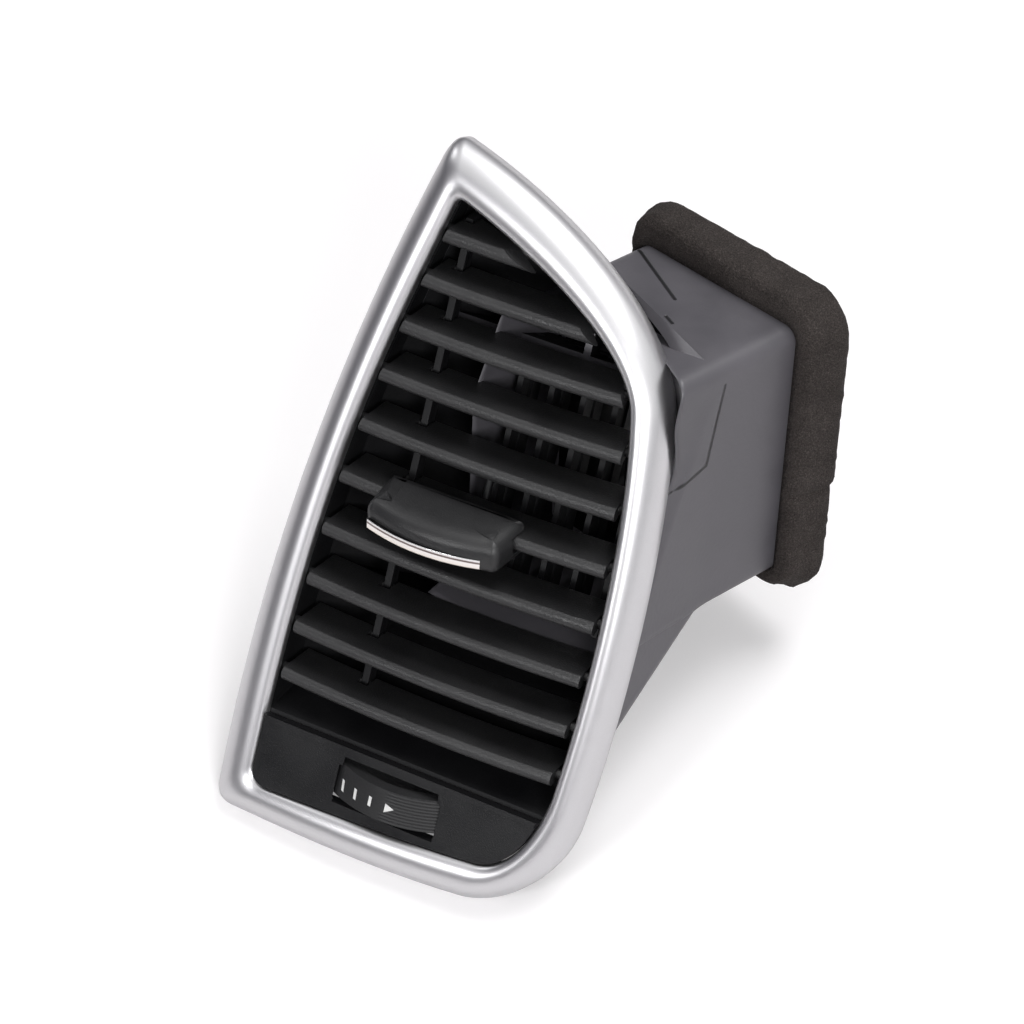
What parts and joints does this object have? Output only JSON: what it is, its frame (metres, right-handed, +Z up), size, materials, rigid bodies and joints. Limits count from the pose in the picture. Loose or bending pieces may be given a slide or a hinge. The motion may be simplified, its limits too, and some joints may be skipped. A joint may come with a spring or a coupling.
{
  "type": "dashboard air vent",
  "caption": "Side dashboard air vent: satin silver sail-shaped bezel, dark slats with a sliding knob, vertical vanes, thumbwheel, shut-off flaps and a foam-sealed rectangular duct.",
  "frame": {"origin": "middle of the duct's rear opening, on the plane of the duct's rear edge", "axes": "+X right, +Y back along the duct (the way the car's air duct leaves), +Z up"},
  "size_m": [0.103, 0.1347, 0.1819],
  "materials": {
    "silver_paint": "satin metallic silver",
    "slat_plastic": "fine grained",
    "black_plastic": "fine grained",
    "duct_plastic": "moulded, slightly mottled",
    "foam": "open-cell foam",
    "bright_trim": "polished",
    "screw_steel": "zinc plated"
  },
  "bodies": {
    "housing": {"bezel": "silver_paint", "front_frame": "black_plastic", "lower_panel": "black_plastic", "air_funnel": "duct_plastic", "rear_duct": "duct_plastic", "foam_seal": "foam", "bezel_screws": "screw_steel", "wheel_screw": "screw_steel"},
    "slat_body_1": {"slat_1": "slat_plastic"},
    "slat_body_2": {"slat_2": "slat_plastic"},
    "slat_body_3": {"slat_3": "slat_plastic"},
    "slat_body_4": {"slat_4": "slat_plastic"},
    "slat_body_5": {"slat_5": "slat_plastic"},
    "slat_body_6": {"slat_6": "slat_plastic"},
    "slat_body_7": {"slat_7": "slat_plastic"},
    "slat_body_8": {"slat_8": "slat_plastic"},
    "slat_body_9": {"slat_9": "slat_plastic"},
    "slat_body_10": {"slat_10": "slat_plastic"},
    "slat_link_body": {"slat_link": "black_plastic"},
    "knob_body": {"knob": "slat_plastic", "knob_trim": "bright_trim", "knob_fork": "black_plastic"},
    "vane_body_1": {"vane_1": "black_plastic"},
    "vane_body_2": {"vane_2": "black_plastic"},
    "vane_body_3": {"vane_3": "black_plastic"},
    "vane_body_4": {"vane_4": "black_plastic"},
    "vane_body_5": {"vane_5": "black_plastic"},
    "vane_link_body": {"vane_link": "black_plastic"},
    "thumbwheel_body": {"thumbwheel": "slat_plastic"},
    "damper_rod_body": {"damper_rod": "black_plastic"},
    "left_flap_body": {"flap_left": "black_plastic", "flap_lever_left": "black_plastic"},
    "right_flap_body": {"flap_right": "black_plastic", "flap_lever_right": "black_plastic"},
    "flap_link_body": {"flap_link": "black_plastic"}
  },
  "joints": [
    {"name": "slat_tilt", "type": "hinge", "parent": "housing", "child": "slat_body_6", "pos_m": [-0.00917, -0.08113, -0.0106], "axis": [0.9537, 0.3007, 0], "range_deg": [-20, 20]},
    {"name": "slat_tilt_1", "type": "hinge", "parent": "housing", "child": "slat_body_1", "pos_m": [-0.01703, -0.05618, 0.05415], "axis": [0.9537, 0.3007, 0], "range_deg": [-20.5, 20.5]},
    {"name": "slat_tilt_2", "type": "hinge", "parent": "housing", "child": "slat_body_2", "pos_m": [-0.01559, -0.06076, 0.04228], "axis": [0.9537, 0.3007, 0], "range_deg": [-20.5, 20.5]},
    {"name": "slat_tilt_3", "type": "hinge", "parent": "housing", "child": "slat_body_3", "pos_m": [-0.01408, -0.06554, 0.02987], "axis": [0.9537, 0.3007, 0], "range_deg": [-20.5, 20.5]},
    {"name": "slat_tilt_4", "type": "hinge", "parent": "housing", "child": "slat_body_4", "pos_m": [-0.01251, -0.07053, 0.01692], "axis": [0.9537, 0.3007, 0], "range_deg": [-20.5, 20.5]},
    {"name": "slat_tilt_5", "type": "hinge", "parent": "housing", "child": "slat_body_5", "pos_m": [-0.01087, -0.07573, 0.00343], "axis": [0.9537, 0.3007, 0], "range_deg": [-20.5, 20.5]},
    {"name": "slat_tilt_7", "type": "hinge", "parent": "housing", "child": "slat_body_7", "pos_m": [-0.00746, -0.08654, -0.02463], "axis": [0.9537, 0.3007, 0], "range_deg": [-20.5, 20.5]},
    {"name": "slat_tilt_8", "type": "hinge", "parent": "housing", "child": "slat_body_8", "pos_m": [-0.00582, -0.09174, -0.03812], "axis": [0.9537, 0.3007, 0], "range_deg": [-20.5, 20.5]},
    {"name": "slat_tilt_9", "type": "hinge", "parent": "housing", "child": "slat_body_9", "pos_m": [-0.00425, -0.09673, -0.05107], "axis": [0.9537, 0.3007, 0], "range_deg": [-20.5, 20.5]},
    {"name": "slat_tilt_10", "type": "hinge", "parent": "housing", "child": "slat_body_10", "pos_m": [-0.00274, -0.10151, -0.06348], "axis": [0.9537, 0.3007, 0], "range_deg": [-20.5, 20.5]},
    {"name": "slat_link_turn", "type": "hinge", "parent": "slat_body_6", "child": "slat_link_body", "pos_m": [-0.03627, -0.08297, -0.0113], "axis": [0.9537, 0.3007, 0], "range_deg": [-20.5, 20.5]},
    {"name": "knob_slide", "type": "slide", "parent": "slat_body_6", "child": "knob_body", "axis": [0.9537, 0.3007, 0], "range_m": [-0.006, 0.006]},
    {"name": "vane_turn_1", "type": "hinge", "parent": "housing", "child": "vane_body_1", "pos_m": [-0.02228, -0.06283, -0.01111], "axis": [-0.1126, 0.3573, 0.9272], "range_deg": [-34.88, 34.88]},
    {"name": "vane_turn_2", "type": "hinge", "parent": "housing", "child": "vane_body_2", "pos_m": [-0.0135, -0.06006, -0.01111], "axis": [-0.1126, 0.3573, 0.9272], "range_deg": [-34.88, 34.88]},
    {"name": "vane_turn_3", "type": "hinge", "parent": "housing", "child": "vane_body_3", "pos_m": [-0.00473, -0.05729, -0.01111], "axis": [-0.1126, 0.3573, 0.9272], "range_deg": [-34.88, 34.88]},
    {"name": "vane_turn_4", "type": "hinge", "parent": "housing", "child": "vane_body_4", "pos_m": [0.00405, -0.05453, -0.01111], "axis": [-0.1126, 0.3573, 0.9272], "range_deg": [-34.88, 34.88]},
    {"name": "vane_turn_5", "type": "hinge", "parent": "housing", "child": "vane_body_5", "pos_m": [0.01282, -0.05176, -0.01111], "axis": [-0.1126, 0.3573, 0.9272], "range_deg": [-34.88, 34.88]},
    {"name": "vane_link_turn", "type": "hinge", "parent": "vane_body_1", "child": "vane_link_body", "pos_m": [-0.01967, -0.07108, -0.04429], "axis": [-0.1126, 0.3573, 0.9272], "range_deg": [-34.88, 34.88]},
    {"name": "thumbwheel_turn", "type": "hinge", "parent": "housing", "child": "thumbwheel_body", "pos_m": [-0.01613, -0.08664, -0.0864], "axis": [0, 0, 1], "range_deg": [-38, 38]},
    {"name": "damper_rod_turn", "type": "hinge", "parent": "thumbwheel_body", "child": "damper_rod_body", "pos_m": [-0.02613, -0.08664, -0.0864], "axis": [0, 0, 1], "range_deg": [-38.5, 38.5]},
    {"name": "left_flap_turn", "type": "hinge", "parent": "housing", "child": "left_flap_body", "pos_m": [-0.013, -0.024, 0], "axis": [0, 0, 1], "range_deg": [-38.5, 38.5]},
    {"name": "right_flap_turn", "type": "hinge", "parent": "housing", "child": "right_flap_body", "pos_m": [0.013, -0.024, 0], "axis": [0, 0, 1], "range_deg": [-38.5, 38.5]},
    {"name": "flap_link_turn", "type": "hinge", "parent": "left_flap_body", "child": "flap_link_body", "pos_m": [-0.023, -0.024, -0.04], "axis": [0, 0, 1], "range_deg": [-38.5, 38.5]}
  ],
  "couplings": [
    {"joint": "slat_tilt_1", "follows": "slat_tilt", "ratio": 1},
    {"joint": "slat_tilt_2", "follows": "slat_tilt", "ratio": 1},
    {"joint": "slat_tilt_3", "follows": "slat_tilt", "ratio": 1},
    {"joint": "slat_tilt_4", "follows": "slat_tilt", "ratio": 1},
    {"joint": "slat_tilt_5", "follows": "slat_tilt", "ratio": 1},
    {"joint": "slat_tilt_7", "follows": "slat_tilt", "ratio": 1},
    {"joint": "slat_tilt_8", "follows": "slat_tilt", "ratio": 1},
    {"joint": "slat_tilt_9", "follows": "slat_tilt", "ratio": 1},
    {"joint": "slat_tilt_10", "follows": "slat_tilt", "ratio": 1},
    {"joint": "slat_link_turn", "follows": "slat_tilt", "ratio": -1},
    {"joint": "vane_turn_1", "follows": "knob_slide", "rad_per_m": 100},
    {"joint": "vane_turn_2", "follows": "knob_slide", "rad_per_m": 100},
    {"joint": "vane_turn_3", "follows": "knob_slide", "rad_per_m": 100},
    {"joint": "vane_turn_4", "follows": "knob_slide", "rad_per_m": 100},
    {"joint": "vane_turn_5", "follows": "knob_slide", "rad_per_m": 100},
    {"joint": "vane_link_turn", "follows": "knob_slide", "rad_per_m": -100},
    {"joint": "damper_rod_turn", "follows": "thumbwheel_turn", "ratio": -1},
    {"joint": "left_flap_turn", "follows": "thumbwheel_turn", "ratio": 1},
    {"joint": "right_flap_turn", "follows": "thumbwheel_turn", "ratio": 1},
    {"joint": "flap_link_turn", "follows": "thumbwheel_turn", "ratio": -1}
  ]
}
